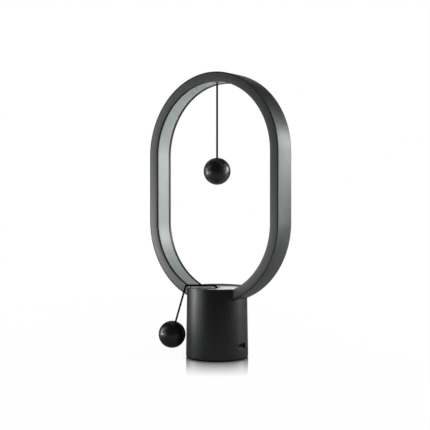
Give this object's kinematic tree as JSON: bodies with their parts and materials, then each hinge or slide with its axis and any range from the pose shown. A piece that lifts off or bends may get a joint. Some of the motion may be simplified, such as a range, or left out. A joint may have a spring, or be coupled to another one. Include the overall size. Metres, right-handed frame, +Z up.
{
  "type": "magnetic balance lamp",
  "caption": "Table lamp with a lit stadium-shaped ring standing in a round base; two corded magnet balls hang inside it and from the base, and pulling the lower cord up switches it on.",
  "frame": {"origin": "centre of the foot's underside, on the surface that the lamp stands on", "axes": "+Z up along the base's axis; the ring stands in the XZ plane with its front cover facing -Y; the power socket faces +X"},
  "size_m": [0.14, 0.0637, 0.245],
  "materials": {
    "ring_charcoal": "satin charcoal plastic",
    "base_charcoal": "satin near-black plastic",
    "plate_gloss": "polished black plate",
    "frosted_diffuser": "frosted milky plastic, unlit",
    "lamp_strip": "white lamp strip",
    "ball_black": "smooth black plastic",
    "cord_black": "thin braided black cord",
    "bush_black": "black moulded plastic",
    "black_plastic": "black moulded plastic",
    "white_plastic": "white moulded plastic",
    "magnet_nickel": "nickel-plated magnet",
    "zinc_steel": "zinc-plated steel",
    "cast_iron": "raw cast ballast",
    "board_green": "green circuit board",
    "socket_tin": "tinned steel shell",
    "foot_rubber": "black foam rubber",
    "wire_red": "red wire insulation",
    "wire_black": "black wire insulation"
  },
  "bodies": {
    "root": {"ring_channel": "ring_charcoal", "ring_front_cover": "ring_charcoal", "ring_diffuser": "frosted_diffuser", "led_strip": "lamp_strip", "ring_cord_bush": "bush_black", "upper_cord_stop": "cord_black", "base_shell": "base_charcoal", "top_plate": "plate_gloss", "cord_guide": "bush_black", "return_spring": "zinc_steel", "switch_body": "black_plastic", "switch_bracket": "zinc_steel", "bracket_screw": "zinc_steel", "ring_saddle": "black_plastic", "ring_screw_left": "zinc_steel", "ring_screw_right": "zinc_steel", "saddle_screw_front": "zinc_steel", "saddle_screw_rear": "zinc_steel", "ballast_weight": "cast_iron", "control_board": "board_green", "board_screw_front": "zinc_steel", "board_screw_rear": "zinc_steel", "usb_socket": "socket_tin", "usb_insulator": "black_plastic", "led_lead_positive": "wire_red", "led_lead_negative": "wire_black", "switch_lead_common": "wire_red", "switch_lead_return": "wire_black", "bottom_cover": "black_plastic", "cover_screw_1": "zinc_steel", "cover_screw_2": "zinc_steel", "cover_screw_3": "zinc_steel", "foot_pad": "foot_rubber"},
    "plunger": {"pull_plunger": "white_plastic"},
    "lower_swivel": {"lower_cord_stub": "cord_black"},
    "lower_run": {"lower_cord_run": "cord_black"},
    "lower_drop": {"lower_cord_drop": "cord_black", "lower_cord_knot": "cord_black"},
    "lower_ball": {"lower_ball_cap": "ball_black", "lower_ball_cup": "ball_black", "lower_magnet": "magnet_nickel"},
    "upper_bead": {"upper_cord_bead": "cord_black"},
    "upper_line": {"upper_cord": "cord_black", "upper_cord_knot": "cord_black"},
    "upper_ball": {"upper_ball_cap": "ball_black", "upper_ball_cup": "ball_black", "upper_magnet": "magnet_nickel"},
    "lever": {"switch_lever": "zinc_steel"},
    "button": {"switch_button": "white_plastic"}
  },
  "joints": [
    {"name": "pull", "type": "slide", "parent": "root", "child": "plunger", "axis": [0, 0, 1], "range_m": [0, 0.002], "stiffness_N_per_m": 150, "springref_m": -0.002, "deforming": ["return_spring"]},
    {"name": "lower_cord_swivel", "type": "hinge", "parent": "plunger", "child": "lower_swivel", "pos_m": [0, 0, 0.0615], "axis": [0, 0, 1], "range_deg": [-15, 115]},
    {"name": "lower_cord_lift", "type": "hinge", "parent": "lower_swivel", "child": "lower_run", "pos_m": [0, 0, 0.0615], "axis": [-0.6428, 0.766, 0], "range_deg": [0, 110]},
    {"name": "lower_cord_straighten", "type": "hinge", "parent": "lower_run", "child": "lower_drop", "pos_m": [-0.02076, -0.01742, 0.0615], "axis": [-0.6428, 0.766, 0], "range_deg": [0, 74.2]},
    {"name": "lower_ball_twist", "type": "hinge", "parent": "lower_drop", "child": "lower_ball", "pos_m": [-0.02987, -0.02507, 0.0192], "axis": [-0.2074, -0.174, -0.9627], "continuous": true},
    {"name": "upper_side_swing", "type": "hinge", "parent": "root", "child": "upper_bead", "pos_m": [0, 0, 0.2356], "axis": [0, 1, 0], "range_deg": [-40, 40]},
    {"name": "upper_fore_swing", "type": "hinge", "parent": "upper_bead", "child": "upper_line", "pos_m": [0, 0, 0.2356], "axis": [1, 0, 0], "range_deg": [-45, 45]},
    {"name": "upper_ball_twist", "type": "hinge", "parent": "upper_line", "child": "upper_ball", "pos_m": [0, 0, 0.1603], "axis": [0, 0, 1], "continuous": true},
    {"name": "lever_tilt", "type": "hinge", "parent": "root", "child": "lever", "pos_m": [-0.01, 0, 0.04002], "axis": [0, -1, 0], "range_deg": [0, 11.5]},
    {"name": "button_travel", "type": "slide", "parent": "root", "child": "button", "axis": [0, 0, 1], "range_m": [0, 0.0008]}
  ],
  "couplings": [
    {"joint": "lever_tilt", "follows": "pull", "rad_per_m": 100},
    {"joint": "button_travel", "follows": "pull", "ratio": 0.36}
  ]
}
